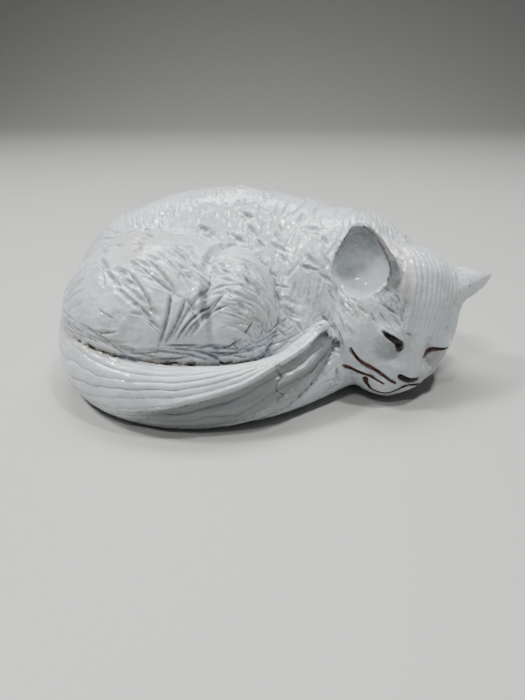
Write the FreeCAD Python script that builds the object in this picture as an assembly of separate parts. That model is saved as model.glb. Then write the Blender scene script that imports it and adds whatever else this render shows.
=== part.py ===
"""Curled sleeping cat, a hand-built hollow figurine in white-glazed stoneware.

The cat lies on its left side in a ring: the rump is at -X, the spine runs round the back (+Y), and the
head comes forward at +X with its chin near the table. Every piece is the clay part that a potter would
make and lute on with slip: a hollow body on a bottom slab, a hollow thigh and head, two cupped ears, the
tail strap, a foreleg, and the iron-oxide lines that are laid into grooves on the face.
Millimetres, +Z up. The origin is on the table, under the middle of the body.
"""

import FreeCAD
import Part

import math
import os

Vector = FreeCAD.Vector

# Driving dimensions
HEIGHT = 93.5  # top of the back above the table
WALL = 6.0  # clay thickness of the hollow pieces
SLAB_THICKNESS = 5.0
VENT_RADIUS = 5.0  # hole that lets steam out of the hollow in the kiln
VENT_AT = (-8.0, 4.0)
AIR_HOLE_RADIUS = 3.0  # holes inside, from the hollow thigh and head to the hollow body
CAP_RADIUS = 6.0  # small flat that closes the top of the body
RING_POINTS = 16  # points on each section of a lofted form

# Horizontal sections of the body: share of HEIGHT, then its reach to -X, +X, -Y and +Y
BODY_SECTIONS = [
    (0.00, 97, 68, 56, 58),
    (0.12, 101, 78, 56, 66),
    (0.32, 102, 87, 48, 70),
    (0.54, 98, 87, 33, 67),
    (0.72, 87, 75, 19, 59),
    (0.86, 67, 54, 6, 49),
    (0.95, 44, 26, -4, 38),
    (0.985, 27, 9, -10, 29),
]
BODY_TOP = (1.00, 10, 0, -13, 26)
BODY_SQUARENESS = 2.2  # 2 is an ellipse; more is boxier

# Right hind leg, a hollow form on the front of the body: the thigh and the bent knee beside it
THIGH_CENTRE = Vector(-42, -15, 34)
THIGH_RADII = (57, 50, 45)
THIGH_TURN = 8.0  # degrees about +Z
KNEE_CENTRE = Vector(-10, -26, 38)
KNEE_RADII = (28, 34, 36)

# Neck and shoulder, a solid pad that joins the head to the body
NECK_CENTRE = Vector(48, 5, 38)
NECK_RADII = (53, 41, 47.5)

# Tail: centre, half height and half thickness of each section, from rump to tip
TAIL_SECTIONS = [
    ((-86, 24, 36), 10, 8),
    ((-90, -9, 29), 18, 11),
    ((-82, -42, 20), 20, 12.5),
    ((-55, -65, 16.5), 16.5, 12.5),
    ((-18, -71, 16), 16, 11.5),
    ((14, -64, 20), 14, 10),
    ((32, -52, 29), 10, 7.5),
    ((40, -45, 37), 4, 3),
]

# Right foreleg along the table, from the chest to the paw that is tucked under the tail
FORELEG_SECTIONS = [
    ((72, -10, 26), 18, 15),
    ((57, -28, 19), 16, 13),
    ((34, -48, 14), 13, 11),
    ((4, -64, 9), 9, 10),
    ((-24, -67, 7), 6.5, 7),
]

# Head: in its own axes +X is the cat's left, -Y is the way it faces and +Z its crown
HEAD_CENTRE = Vector(73.5, -22, 35)
HEAD_TURN = 19.0  # degrees about +Z, away from -Y towards +X
HEAD_TILT = 19.0  # degrees that the crown leans towards +X
HEAD_BOW = 8.0  # degrees that the nose drops
# Sections across the face axis: distance behind the middle, half width, reach up and down
HEAD_SECTIONS = [
    (30, 19, 24, 16),
    (18, 29, 35, 25),
    (4, 33.5, 39, 31),
    (-9, 34, 36, 33),
    (-18, 32, 27, 33),
    (-25, 27, 15, 31.5),
    (-30.5, 20.5, 3, 29.5),
    (-34.5, 14, -3, 26),
]
HEAD_BACK = (35, 8, 12, 5)
HEAD_FRONT = (-36.5, 8.5, -7, 21.5)
HEAD_SQUARENESS = 2.3

# Ears: the root in the head, the tip, the way the hollow faces, and the half depth at the root
EAR_HALF_WIDTH = 19.0
EAR_WALL = 2.4
EAR_SINK = 9.0  # how far the ear goes on into the head, past its root
RIGHT_EAR = (Vector(60, -34, 52), Vector(52.5, -32, 89), Vector(-0.5, -0.85, 0.1), 10.0)
LEFT_EAR = (Vector(101, -15, 46.5), Vector(128.5, -12, 54.5), Vector(0.25, -0.35, -0.9), 13.0)
# The ear's taper: share of the way from the sunk foot to the tip, and share of the full width
EAR_PROFILE = [(0.0, 0.92), (0.25, 1.0), (0.5, 0.86), (0.75, 0.55), (0.92, 0.27), (1.0, 0.08)]

# Iron-oxide slip laid into grooves on the face: points (x, z) on the head's axes, half width at each
LINE_DEPTH = 1.2
FACE_LINES = {
    "right_eye_line": [(-21.5, 7.5, 0.5), (-17.5, 6.5, 1.0), (-13, 5, 1.4), (-9, 3.5, 1.5), (-8, 1.5, 1.3)],
    "left_eye_line": [(23.5, 5, 0.4), (16, 4.5, 0.8), (10.5, 3, 1.0), (8, 0, 0.7)],
    "nose": [(-5.5, -10, 1.0), (-1.5, -11.5, 1.9), (2.5, -11.5, 1.8), (6.5, -10.5, 0.9)],
    "mouth_line": [
        (-18.5, -18.5, 1.4), (-16, -21.5, 1.1), (-12.5, -23.5, 0.7), (-7, -22.5, 0.6), (-2, -19.5, 0.6),
        (0.5, -16.5, 0.7), (3, -14.5, 0.6), (9, -14, 0.5), (14, -15.5, 0.4),
    ],
    "upper_cheek_line": [
        (-29, -8.5, 0.7), (-25, -11, 0.8), (-17.5, -11.5, 0.8), (-12, -12.5, 0.7), (-5, -14.5, 0.4),
    ],
    "lower_cheek_line": [(-28.5, -19, 0.9), (-24, -18.5, 0.8), (-20, -16, 0.7), (-11.5, -16, 0.3)],
}


def closed_wire(points):
    """A smooth closed curve through the points."""
    curve = Part.BSplineCurve()
    curve.interpolate(Points=points, PeriodicFlag=True)
    return Part.Wire([curve.toShape()])


def loft(wires):
    """A closed solid through the wires, with flat ends."""
    solid = Part.makeLoft(wires, True, False)
    if solid.Volume < 0:
        solid.reverse()
    return solid


def superellipse(angle, power):
    """(cosine, sine) pushed out towards a square, more so as power passes 2."""
    c, s = math.cos(angle), math.sin(angle)
    stretch = (abs(c) ** power + abs(s) ** power) ** (-1.0 / power)
    return c * stretch, s * stretch


def ring_angles():
    return [2 * math.pi * i / RING_POINTS for i in range(RING_POINTS)]


def body_ring(section, inset=0.0, height=HEIGHT):
    """One horizontal section of the body, drawn in by inset all round."""
    share, left, right, front, back = section
    middle_x, middle_y = (right - left) / 2, (back - front) / 2
    half_x, half_y = (right + left) / 2 - inset, (back + front) / 2 - inset
    points = []
    for angle in ring_angles():
        c, s = superellipse(angle, BODY_SQUARENESS)
        points.append(Vector(middle_x + half_x * c, middle_y + half_y * s, share * height))
    return closed_wire(points)


def body_form(inset=0.0):
    """The body's outer form, or the hollow inside it when inset is the wall."""
    height = HEIGHT - inset
    wires = [body_ring(s, inset, height) for s in BODY_SECTIONS]
    share, left, right, front, back = BODY_TOP
    top_x, top_y = (right - left) / 2, (back - front) / 2
    cap = (share, CAP_RADIUS - top_x, CAP_RADIUS + top_x, CAP_RADIUS - top_y, CAP_RADIUS + top_y)
    wires.append(body_ring(cap, 0.0, height))
    return loft(wires)


def ellipsoid(centre, radii, turn):
    ball = Part.makeSphere(1.0)
    matrix = FreeCAD.Matrix()
    matrix.scale(Vector(*radii))
    matrix.rotateZ(math.radians(turn))
    matrix.move(centre)
    return ball.transformGeometry(matrix)


def hind_leg_form(inset=0.0):
    """The thigh and knee together, or the hollow inside them when inset is the wall."""
    thigh = ellipsoid(THIGH_CENTRE, [r - inset for r in THIGH_RADII], THIGH_TURN)
    knee = ellipsoid(KNEE_CENTRE, [r - inset for r in KNEE_RADII], 0.0)
    return thigh.fuse(knee)


def limb(sections, upright=Vector(0, 0, 1)):
    """A solid through elliptical sections (centre, half height, half thickness) square to their path."""
    centres = [Vector(*centre) for centre, _, _ in sections]
    wires = []
    for i, (_, half_height, half_thickness) in enumerate(sections):
        ahead = centres[min(i + 1, len(centres) - 1)] - centres[max(i - 1, 0)]
        ahead.normalize()
        side = ahead.cross(upright).normalize()
        up = side.cross(ahead).normalize()
        points = [
            centres[i] + side * (half_thickness * math.cos(a)) + up * (half_height * math.sin(a))
            for a in ring_angles()
        ]
        wires.append(closed_wire(points))
    return loft(wires)


def head_placement():
    turn = FreeCAD.Rotation(Vector(0, 0, 1), HEAD_TURN)
    tilt = FreeCAD.Rotation(Vector(0, 1, 0), HEAD_TILT)
    bow = FreeCAD.Rotation(Vector(1, 0, 0), HEAD_BOW)
    return FreeCAD.Placement(HEAD_CENTRE, tilt.multiply(turn).multiply(bow))


def head_form(inset=0.0):
    """The head on its own axes, or the hollow inside it when inset is the wall."""
    shrink = 1.0 - inset / HEAD_SECTIONS[3][1]
    wires = []
    for behind, half_width, up, down in [HEAD_BACK, *HEAD_SECTIONS, HEAD_FRONT]:
        middle, half_height = (up - down) / 2, (up + down) / 2
        points = []
        for angle in ring_angles():
            c, s = superellipse(angle, HEAD_SQUARENESS)
            point = Vector(half_width * c, behind, middle + half_height * s)
            points.append(point * shrink)
        wires.append(closed_wire(points))
    return loft(wires)


def ear_form(length, half_depth, wall=0.0):
    """An ear's outside, or the scoop taken out of its front to leave the wall."""
    wires = []
    for share, size in EAR_PROFILE:
        lift = share * (length - wall + EAR_SINK) - EAR_SINK
        half_width = max(EAR_HALF_WIDTH * size - wall, 0.4 * EAR_WALL)
        points = [
            Vector(half_width * math.cos(a), half_depth * size * math.sin(a) - 1.2 * wall, lift)
            for a in ring_angles()
        ]
        wires.append(closed_wire(points))
    return loft(wires)


def ear(root, tip, faces, half_depth):
    """A cupped ear from root to tip with its hollow turned the way it faces."""
    length = (tip - root).Length
    outside = ear_form(length, half_depth)
    scoop = ear_form(length, half_depth, EAR_WALL)
    floor = Part.makeBox(100, 100, 100, Vector(-50, -50, -100))
    cup = outside.cut(scoop.cut(floor))
    up = (tip - root).normalize()
    back = (faces * -1.0 + up * faces.dot(up)).normalize()
    turn = FreeCAD.Rotation(back.cross(up), back, up, "ZYX")
    cup.Placement = FreeCAD.Placement(root, turn)
    return cup


def line_outline(points):
    """The outline of a tapering line on the x-z plane."""
    left, right = [], []
    for i, (x, z, half_width) in enumerate(points):
        before, after = points[max(i - 1, 0)], points[min(i + 1, len(points) - 1)]
        run = Vector(after[0] - before[0], 0, after[1] - before[1]).normalize()
        aside = Vector(-run.z, 0, run.x) * half_width
        left.append(Vector(x, 0, z) + aside)
        right.append(Vector(x, 0, z) - aside)
    return closed_wire(left + right[::-1])


def face_line(skin, points):
    """An oxide line: the part of the head's skin that lies under the line's outline."""
    outline = Part.Face(line_outline(points))
    return outline.extrude(Vector(0, -100, 0)).common(skin)


def air_hole(start, end):
    return Part.makeCylinder(AIR_HOLE_RADIUS, (end - start).Length, start, end - start)


def on_table(shape):
    """The part of the shape above the table top."""
    return shape.common(Part.makeBox(600, 600, 300, Vector(-300, -300, 0)))


def build():
    parts = {}
    body_outer, body_inner = body_form(), body_form(WALL)
    body_middle = Vector(0, 5, 40)
    slab_box = Part.makeBox(400, 400, SLAB_THICKNESS, Vector(-200, -200, 0))
    vent = Part.makeCylinder(VENT_RADIUS, SLAB_THICKNESS, Vector(*VENT_AT, 0))
    thigh_air = air_hole(THIGH_CENTRE + Vector(0, -20, 0), body_middle)
    head_air = air_hole(HEAD_CENTRE, body_middle)
    parts["body_shell"] = body_outer.cut(body_inner).cut(thigh_air).cut(head_air)
    parts["bottom_slab"] = body_inner.common(slab_box).cut(vent)

    leg_outer = on_table(hind_leg_form())
    parts["hind_leg"] = leg_outer.cut(hind_leg_form(WALL)).cut(body_outer)

    tail_whole = on_table(limb(TAIL_SECTIONS))
    parts["tail"] = tail_whole.cut(body_outer).cut(leg_outer)

    neck_whole = on_table(ellipsoid(NECK_CENTRE, NECK_RADII, 0.0))
    parts["neck"] = neck_whole.cut(body_outer).cut(leg_outer).cut(tail_whole).cut(head_air)

    placement = head_placement()
    head_outer, head_inner = head_form(), head_form(WALL)
    skin = head_outer.cut(head_form(LINE_DEPTH))
    head_shell = head_outer.cut(head_inner)
    for name, points in FACE_LINES.items():
        line = face_line(skin, points)
        head_shell = head_shell.cut(line)
        line.Placement = placement
        parts[name] = line
    head_outer.Placement = placement
    head_shell.Placement = placement
    parts["head_shell"] = on_table(head_shell).cut(body_outer).cut(neck_whole)

    for name, points in (("right_ear", RIGHT_EAR), ("left_ear", LEFT_EAR)):
        parts[name] = ear(*points).cut(head_outer).cut(body_outer).cut(neck_whole)

    foreleg_whole = on_table(limb(FORELEG_SECTIONS))
    foreleg = foreleg_whole.cut(body_outer).cut(tail_whole).cut(leg_outer)
    parts["foreleg"] = foreleg.cut(head_outer).cut(neck_whole)
    return parts


def main():
    os.makedirs("parts", exist_ok=True)
    for name, shape in build().items():
        solid = max(shape.Solids, key=lambda s: s.Volume)
        print(f"{name}: {len(shape.Solids)} solids, {solid.Volume / 1000:.2f} cm3, valid {solid.isValid()}")
        solid.exportStep(f"parts/{name}.step")


main()
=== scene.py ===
"""Looks of the curled cat: a thick white tin glaze over scratched and combed stoneware.

The packed clay pieces are joined into one clay skin, as a potter blends the luted seams. The skin is then
modelled (eye hollows, muzzle, ear hollow, folds), combed and scratched, and parted again into one piece
per clay part along shared edges, so that the joins don't show. The oxide lines follow the modelled face.
Lengths are in metres unless a name ends in _mm.
"""

import math

import bmesh
import bpy
import numpy as np
import openvdb as vdb
from mathutils import Matrix, Vector
from mathutils.bvhtree import BVHTree
from mathutils.kdtree import KDTree


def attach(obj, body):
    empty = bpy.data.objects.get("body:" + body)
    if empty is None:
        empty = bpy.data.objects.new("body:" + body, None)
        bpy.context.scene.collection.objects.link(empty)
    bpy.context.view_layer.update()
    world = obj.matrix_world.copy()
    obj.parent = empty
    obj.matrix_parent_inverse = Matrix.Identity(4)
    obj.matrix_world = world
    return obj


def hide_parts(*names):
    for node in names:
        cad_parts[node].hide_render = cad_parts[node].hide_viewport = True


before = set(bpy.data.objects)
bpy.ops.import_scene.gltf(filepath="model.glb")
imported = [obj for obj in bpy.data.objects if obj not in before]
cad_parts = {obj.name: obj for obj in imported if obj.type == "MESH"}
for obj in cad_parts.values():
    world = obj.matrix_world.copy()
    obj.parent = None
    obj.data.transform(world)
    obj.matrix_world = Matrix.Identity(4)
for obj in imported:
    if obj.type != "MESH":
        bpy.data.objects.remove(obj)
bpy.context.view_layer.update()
MM = 0.001
STEP = 1.05 * MM  # grid on which the clay is joined; the skin is half as fine again
BAND = 10  # cells each side of a surface that hold a distance
TAU = 2 * math.pi

LUMPS = [
    "body_shell", "bottom_slab", "hind_leg", "neck", "head_shell",
    "right_ear", "left_ear", "foreleg", "tail",
]

# Repeated from the CAD. The head's own axes: +X the cat's left, -Y the way it faces, +Z its crown
HEAD_CENTRE = np.array([73.5, -22.0, 35.0]) * MM
HEAD_AXES = np.array(
    Matrix.Rotation(math.radians(19), 3, "Y")
    @ Matrix.Rotation(math.radians(19), 3, "Z")
    @ Matrix.Rotation(math.radians(8), 3, "X")
)
VENT_AT = np.array([-8.0, 4.0]) * MM
THIGH_CENTRE = np.array([-42.0, -15.0, 34.0]) * MM
THIGH_RADII_MM = (57, 50, 45)
THIGH_AXES = np.array(Matrix.Rotation(math.radians(8), 3, "Z"))
KNEE_CENTRE = np.array([-10.0, -26.0, 38.0]) * MM
KNEE_RADII_MM = (28, 34, 36)
TAIL_CENTRE = np.array([-18.0, -6.0]) * MM  # the tail curls round this place
# The edge along the tail, which climbs to its tip: bearing from the centre in degrees, and the angle round
# the tail's section in radians, where 0 faces out
TAIL_EDGE = [
    (160, -0.9), (220, -0.6), (242, -0.2), (262, 0.23), (282, 0.6), (298, 1.08), (308, 1.2), (326, 1.3),
]
TAIL_CRACK_BEARING = 296
EAR_ROOT = np.array([60.0, -34.0, 52.0]) * MM
EAR_TIP = np.array([52.5, -32.0, 89.0]) * MM
EAR_FACES = np.array([-0.5, -0.85, 0.1])
# Oxide lines of the face: points (x, z) on the head's axes and half width at each, in mm. The far eye's
# line is wider than in the CAD and up to 0.8 mm lower
FACE_LINES = {
    "right_eye_line": [
        (-21.5, 7.5, 0.5), (-17.5, 6.5, 1.3), (-13, 4.8, 1.6), (-9.5, 2.8, 1.75), (-8, 0.8, 1.3),
    ],
    "left_eye_line": [(23.5, 4.6, 0.8), (16, 3.9, 1.9), (10.5, 2.2, 2.1), (8, -0.4, 1.4)],
    "nose": [(-5.5, -10, 0.8), (-1.5, -11.3, 1.6), (2.5, -11.3, 1.5), (6.5, -10.5, 0.6)],
    "mouth_line": [
        (-18.5, -18.5, 1.2), (-16, -21.5, 0.65), (-12.5, -23.5, 0.45), (-7, -22.5, 0.4), (-2, -19.5, 0.4),
        (0.5, -16.5, 0.5), (3, -14.5, 0.4), (9, -14, 0.35), (14, -15.5, 0.3),
    ],
    "upper_cheek_line": [
        (-29, -8.5, 0.45), (-25, -11, 0.6), (-17.5, -11.5, 0.55), (-12, -12.5, 0.45), (-5, -14.5, 0.3),
    ],
    "lower_cheek_line": [(-28.5, -18, 0.65), (-24, -17.5, 0.55), (-19, -16.2, 0.4), (-11.5, -16, 0.25)],
}


def on_head(x_mm, y_mm, z_mm):
    """A point given on the head's axes, in the row frame."""
    return HEAD_CENTRE + HEAD_AXES @ (np.array([x_mm, y_mm, z_mm]) * MM)


def head_coordinates(points):
    return (points - HEAD_CENTRE) @ HEAD_AXES / MM


def ramp(x, low, high):
    """0 below low, 1 above high, smooth between."""
    t = np.clip((x - low) / (high - low), 0, 1)
    return t * t * (3 - 2 * t)


def bump(x, middle, width):
    return np.exp(-(((x - middle) / width) ** 2))


def unit(v):
    return v / np.maximum(np.linalg.norm(v, axis=-1, keepdims=True), 1e-12)


# ---------------------------------------------------------------- noise


def make_lattice(seed):
    return np.random.default_rng(seed).random((32, 32, 32)).astype(np.float32) * 2 - 1


LATTICES = [make_lattice(seed) for seed in range(6)]


def corner_weights(f):
    """The eight corners of a cell, each with its share at the place f inside the cell."""
    for corner in range(8):
        step = np.array([corner >> 2 & 1, corner >> 1 & 1, corner & 1])
        yield step, np.prod(np.where(step, f, 1 - f), axis=1)


def noise(points, size, seed=0):
    """Smooth noise from -1 to 1 with features of about that size."""
    p = points / size + 7.31 * (seed + 1)
    cell = np.floor(p).astype(int)
    f = p - cell
    lattice = LATTICES[seed % len(LATTICES)]
    total = np.zeros(len(points))
    for step, weight in corner_weights(f * f * (3 - 2 * f)):
        index = (cell + step) % 32
        total += weight * lattice[index[:, 0], index[:, 1], index[:, 2]]
    return total


# ---------------------------------------------------------------- the joined clay, on a grid


def cad_triangles(node):
    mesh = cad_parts[node].data
    points = np.empty(len(mesh.vertices) * 3, np.float32)
    mesh.vertices.foreach_get("co", points)
    mesh.calc_loop_triangles()
    triangles = np.empty(len(mesh.loop_triangles) * 3, np.int32)
    mesh.loop_triangles.foreach_get("vertices", triangles)
    return points.reshape(-1, 3), triangles.reshape(-1, 3).astype(np.uint32)


CAD_POINTS = np.vstack([cad_triangles(name)[0] for name in LUMPS])
GRID_LOW = np.floor(CAD_POINTS.min(0) / STEP).astype(int) - 8
GRID_SHAPE = tuple(int(n) for n in np.ceil(CAD_POINTS.max(0) / STEP).astype(int) + 9 - GRID_LOW)


def distance_to(node):
    points, triangles = cad_triangles(node)
    transform = vdb.createLinearTransform(STEP)
    grid = vdb.FloatGrid.createLevelSetFromPolygons(
        points, triangles=triangles, transform=transform, halfWidth=BAND
    )
    out = np.full(GRID_SHAPE, BAND * STEP, np.float32)
    grid.copyToArray(out, ijk=tuple(int(i) for i in GRID_LOW))
    return out


def grid_points():
    axes = [(GRID_LOW[i] + np.arange(GRID_SHAPE[i])) * STEP for i in range(3)]
    return np.stack(np.meshgrid(*axes, indexing="ij"), -1).astype(np.float32)


def sample(field, points):
    """The grid's value at each point."""
    p = points / STEP - GRID_LOW
    cell = np.clip(np.floor(p).astype(int), 0, np.array(GRID_SHAPE) - 2)
    total = np.zeros(len(points))
    for step, weight in corner_weights(p - cell):
        index = cell + step
        total += weight * field[index[:, 0], index[:, 1], index[:, 2]]
    return total


def blend_in(a, b, radius):
    """The union of two distances, filled at the join with a fillet of about that radius."""
    return np.minimum(a, b) - np.maximum(radius - np.abs(a - b), 0) ** 2 / (4 * radius)


def carve_out(a, b, radius):
    """a with b taken away, the edge softened."""
    return -blend_in(-a, b, radius)


def ellipsoid(points, centre, radii_mm, axes):
    """A near-distance to an ellipsoid on the given axes."""
    local = (points - centre.astype(points.dtype)) @ axes.astype(points.dtype)
    radii = (np.array(radii_mm) * MM).astype(points.dtype)
    k = np.linalg.norm(local / radii, axis=-1)
    slope = np.linalg.norm(local / radii**2, axis=-1)
    return k * (k - 1) / np.maximum(slope, 1e-6)


def rod(points, a, b, radius_a, radius_b):
    """A distance to a tapering rod with round ends."""
    run = (b - a).astype(points.dtype)
    share = np.clip((points - a.astype(points.dtype)) @ run / (run @ run), 0, 1)
    away = np.linalg.norm(points - a.astype(points.dtype) - share[..., None] * run, axis=-1)
    return away - (radius_a + (radius_b - radius_a) * share)


def enclosed(solid):
    """Cells with something solid beyond them to both sides, to the front and back, and above."""
    found = np.ones(solid.shape, bool)
    for axis, flip in ((0, False), (0, True), (1, False), (1, True), (2, True)):
        seen = np.flip(solid, axis) if flip else solid
        seen = np.logical_or.accumulate(seen, axis)
        seen = np.roll(seen, 1, axis)
        found &= np.flip(seen, axis) if flip else seen
    return found


def joined_clay(distances):
    hard = np.minimum.reduce(list(distances.values()))
    clay = np.minimum(distances["body_shell"], distances["bottom_slab"])
    clay = blend_in(clay, distances["neck"], 5 * MM)
    clay = blend_in(clay, distances["hind_leg"], 3 * MM)
    head = blend_in(distances["head_shell"], distances["right_ear"], 3 * MM)
    head = blend_in(head, distances["left_ear"], 5 * MM)
    clay = blend_in(clay, head, 6 * MM)
    clay = blend_in(clay, distances["foreleg"], 5 * MM)
    clay = blend_in(clay, distances["tail"], 1.4 * MM)
    hollow = enclosed(hard < 0.3 * STEP) & (hard > -0.6 * STEP)
    clay[hollow] = np.minimum(clay[hollow], -0.6 * STEP)
    return clay


def model_face(clay, points):
    """Presses in the eye hollows and raises the nose bridge, muzzle and brows, on the head's axes."""
    near_head = ellipsoid(points, HEAD_CENTRE, (48, 50, 52), HEAD_AXES) < 0
    p = points[near_head]
    c = clay[near_head]
    for side in (-1, 1):
        hollow = ellipsoid(p, on_head(side * 14.5, -33.5, 2.0), (11, 6.0, 6.5), HEAD_AXES)
        c = carve_out(c, hollow, 4 * MM)
        lid = ellipsoid(p, on_head(side * 14.5, -23.6, 6.5), (8.5, 6.5, 5), HEAD_AXES)
        c = blend_in(c, lid, 2.5 * MM)
        muzzle = ellipsoid(p, on_head(side * 6.5 - 1, -29.2, -17.0), (8.5, 8.2, 6.5), HEAD_AXES)
        c = blend_in(c, muzzle, 3 * MM)
    bridge = rod(p, on_head(0.8, -24.0, 9), on_head(0.8, -33.2, -8.5), 4.6 * MM, 4.2 * MM)
    c = blend_in(c, bridge, 4 * MM)
    c = carve_out(c, ellipsoid(p, on_head(19.2, -35.8, -31.0), (16, 16, 16), HEAD_AXES), 6 * MM)
    clay[near_head] = c
    return clay


EAR_UP = unit(EAR_TIP - EAR_ROOT)
EAR_OUT = unit(EAR_FACES - EAR_UP * (EAR_FACES @ EAR_UP))
EAR_AXES = np.stack([np.cross(-EAR_OUT, EAR_UP), EAR_OUT, EAR_UP], 1)


def on_ear(side_mm, out_mm, up_mm):
    return EAR_ROOT + EAR_AXES @ (np.array([side_mm, out_mm, up_mm]) * MM)


def ear_bowl(points):
    """The right ear's hollow: round below and drawn up to a point."""
    low = ellipsoid(points, on_ear(-1.2, 9.0, 15.5), (14.5, 12.4, 10.8), EAR_AXES)
    high = ellipsoid(points, on_ear(-1.4, 7.6, 20.6), (11.8, 10.6, 16.4), EAR_AXES)
    return blend_in(low, high, 4 * MM)


def ear_roll(points, side):
    """The rolled edge of the right ear: side is 1 for the edge by the crown and -1 for the other."""
    edge = [(16.5, 4.5, -3), (16.0, 4.0, 8), (13.4, 2.5, 18), (9.0, 1.2, 27), (3.4, 0.5, 34)]
    radii = [3.2, 3.4, 3.0, 2.2, 1.4]
    spots = [on_ear(side * x, y, z) for x, y, z in edge]
    rolls = [
        rod(points, spots[i], spots[i + 1], radii[i] * MM, radii[i + 1] * MM) for i in range(len(edge) - 1)
    ]
    return np.minimum.reduce(rolls[1:] if side < 0 else rolls)


def model_ear(clay, points):
    """Rolls the right ear's edges outwards and runs its hollow down into the side of the head."""
    near = np.linalg.norm(points - on_ear(0, 5, 15).astype(np.float32), axis=-1) < 36 * MM
    p = points[near]
    c = clay[near]
    for side in (-1, 1):
        c = blend_in(c, ear_roll(p, side), 2 * MM)
    clay[near] = carve_out(c, ear_bowl(p), 1.3 * MM)
    return clay


def fold_tail_end(clay, points):
    """The tail's end is a torn flap of clay, folded over against the ruff."""
    low_end, tip = np.array([22, -56.5, 32.5]) * MM, np.array([37, -46.5, 41]) * MM
    return blend_in(clay, rod(points, low_end, tip, 3.4 * MM, 3.4 * MM), 2.4 * MM)


def cut_vent(clay, points):
    away = np.linalg.norm(points[..., :2] - VENT_AT.astype(np.float32), axis=-1)
    hole = np.maximum(away - 5 * MM, points[..., 2] - 12 * MM)
    return np.maximum(clay, -hole)


def largest_part(points, quads):
    """Drops any loose scrap: keeps the part of the mesh with the most faces."""
    label = np.arange(len(points))
    edges = np.concatenate([quads[:, [i, (i + 1) % 4]] for i in range(4)])
    while True:
        low = np.minimum(label[edges[:, 0]], label[edges[:, 1]])
        new = label.copy()
        np.minimum.at(new, edges[:, 0], low)
        np.minimum.at(new, edges[:, 1], low)
        new = new[new]
        if np.array_equal(new, label):
            break
        label = new
    names, counts = np.unique(label[quads[:, 0]], return_counts=True)
    keep = label[quads[:, 0]] == names[counts.argmax()]
    used, index = np.unique(quads[keep], return_inverse=True)
    return points[used], index.reshape(-1, 4)


def mesh_from(name, points, faces):
    mesh = bpy.data.meshes.new(name)
    mesh.from_pydata(points.tolist(), [], faces.tolist())
    return mesh


def skin_of(clay):
    """The clay's outer surface as points and quads, with smooth curvature."""
    grid = vdb.FloatGrid(BAND * STEP)
    grid.copyFromArray(clay, ijk=tuple(int(i) for i in GRID_LOW))
    grid.transform = vdb.createLinearTransform(STEP)
    points, quads = grid.convertToQuads(0.0)
    points, quads = largest_part(points.astype(float), quads.astype(int))
    a, b, c = (points[quads[:, i]] for i in range(3))
    if np.einsum("ij,ij->", np.cross(b - a, c - a), a - points.mean(0)) < 0:
        quads = quads[:, ::-1]
    mesh = mesh_from("rough_skin", points, quads)
    rough = bpy.data.objects.new("rough_skin", mesh)
    bpy.context.scene.collection.objects.link(rough)
    finer = rough.modifiers.new("finer", "SUBSURF")
    finer.levels = finer.render_levels = 1
    fine = rough.evaluated_get(bpy.context.evaluated_depsgraph_get()).to_mesh()
    out = np.empty(len(fine.vertices) * 3)
    fine.vertices.foreach_get("co", out)
    loops = np.empty(len(fine.loops), np.int32)
    fine.loops.foreach_get("vertex_index", loops)
    rough.to_mesh_clear()
    bpy.data.objects.remove(rough)
    bpy.data.meshes.remove(mesh)
    return out.reshape(-1, 3), loops.reshape(-1, 4).astype(int)


# ---------------------------------------------------------------- the skin


def vertex_normals(points, quads):
    q = points[quads]
    face = np.cross(q[:, 2] - q[:, 0], q[:, 3] - q[:, 1])
    total = np.zeros_like(points)
    for i in range(4):
        for k in range(3):
            total[:, k] += np.bincount(quads[:, i], face[:, k], minlength=len(points))
    return unit(total)


class Skin:
    """The whole clay surface: points, quads, normals, and a quick way to the nearest point."""

    def __init__(self, points, quads):
        self.points = points
        self.quads = quads
        pairs = np.sort(np.concatenate([quads[:, [i, (i + 1) % 4]] for i in range(4)]), axis=1)
        keys = np.unique(pairs[:, 0] * len(points) + pairs[:, 1])
        self.ends = keys // len(points), keys % len(points)
        self.degree = np.maximum(np.bincount(np.concatenate(self.ends), minlength=len(points)), 1)
        self.normals = vertex_normals(points, quads)
        self.tree = KDTree(len(points))
        for i, p in enumerate(points.tolist()):
            self.tree.insert(p, i)
        self.tree.balance()

    def smoothed(self, values, times):
        flat = values.reshape(len(values), -1).astype(float)
        a, b = self.ends
        for _ in range(times):
            for k in range(flat.shape[1]):
                total = np.bincount(a, flat[b, k], minlength=len(flat))
                total += np.bincount(b, flat[a, k], minlength=len(flat))
                flat[:, k] = 0.5 * flat[:, k] + 0.5 * total / self.degree
        return flat.reshape(values.shape)

    def sunk(self, times):
        """How far each point lies below its surroundings: positive in hollows."""
        return np.einsum("ij,ij->i", self.smoothed(self.points, times) - self.points, self.normals)


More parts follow.
